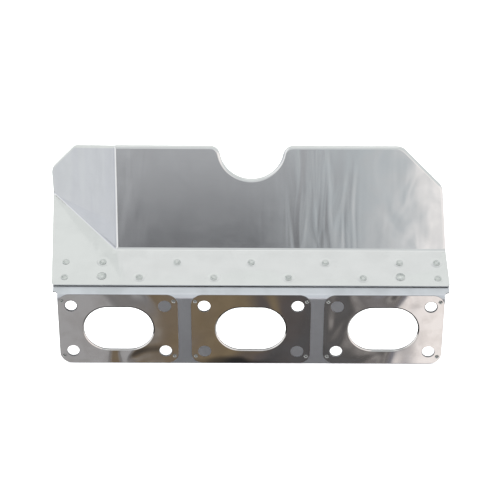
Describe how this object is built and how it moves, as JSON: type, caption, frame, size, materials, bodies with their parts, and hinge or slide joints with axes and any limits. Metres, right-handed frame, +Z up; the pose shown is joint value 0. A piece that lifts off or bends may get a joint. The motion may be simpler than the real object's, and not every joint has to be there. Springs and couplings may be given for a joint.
{
  "type": "exhaust manifold gasket",
  "caption": "Multi-layer steel gasket for a row of exhaust ports, with a folded sandwich heat shield riveted to its bent flange.",
  "frame": {"origin": "centre of the middle port on the face that meets the cylinder head", "axes": "+X along the row of ports, +Y into the cylinder head, +Z up across the ports towards the shield"},
  "size_m": [0.2787, 0.0987, 0.1422],
  "materials": {
    "carrier_steel": "matt rolled stainless sheet, 0.8 mm",
    "plate_steel": "bright rolled stainless spring sheet, 0.4 mm",
    "rivet_steel": "bright plated steel",
    "shield_steel": "aluminium coated steel sheet, 0.4 mm",
    "shield_back_steel": "aluminium coated steel sheet, 0.4 mm",
    "insulation": "pressed mineral fibre felt, 0.8 mm"
  },
  "bodies": {
    "root": {"carrier_sheet": "carrier_steel", "front_port_plate_1": "plate_steel", "front_port_plate_2": "plate_steel", "front_port_plate_3": "plate_steel", "rear_port_plate_1": "plate_steel", "rear_port_plate_2": "plate_steel", "rear_port_plate_3": "plate_steel", "plate_rivet_1_1": "rivet_steel", "plate_rivet_1_2": "rivet_steel", "plate_rivet_1_3": "rivet_steel", "plate_rivet_1_4": "rivet_steel", "plate_rivet_2_1": "rivet_steel", "plate_rivet_2_2": "rivet_steel", "plate_rivet_2_3": "rivet_steel", "plate_rivet_2_4": "rivet_steel", "plate_rivet_3_1": "rivet_steel", "plate_rivet_3_2": "rivet_steel", "plate_rivet_3_3": "rivet_steel", "plate_rivet_3_4": "rivet_steel", "strip_rivet_01": "rivet_steel", "strip_rivet_02": "rivet_steel", "strip_rivet_03": "rivet_steel", "strip_rivet_04": "rivet_steel", "strip_rivet_05": "rivet_steel", "strip_rivet_06": "rivet_steel", "strip_rivet_07": "rivet_steel", "strip_rivet_08": "rivet_steel", "strip_rivet_09": "rivet_steel", "strip_rivet_10": "rivet_steel", "strip_rivet_11": "rivet_steel", "strip_rivet_12": "rivet_steel", "strip_rivet_13": "rivet_steel", "button_rivet_1": "rivet_steel", "button_rivet_2": "rivet_steel", "shield_front_skin": "shield_steel", "shield_insulation_core": "insulation", "shield_back_skin": "shield_back_steel"}
  },
  "joints": []
}
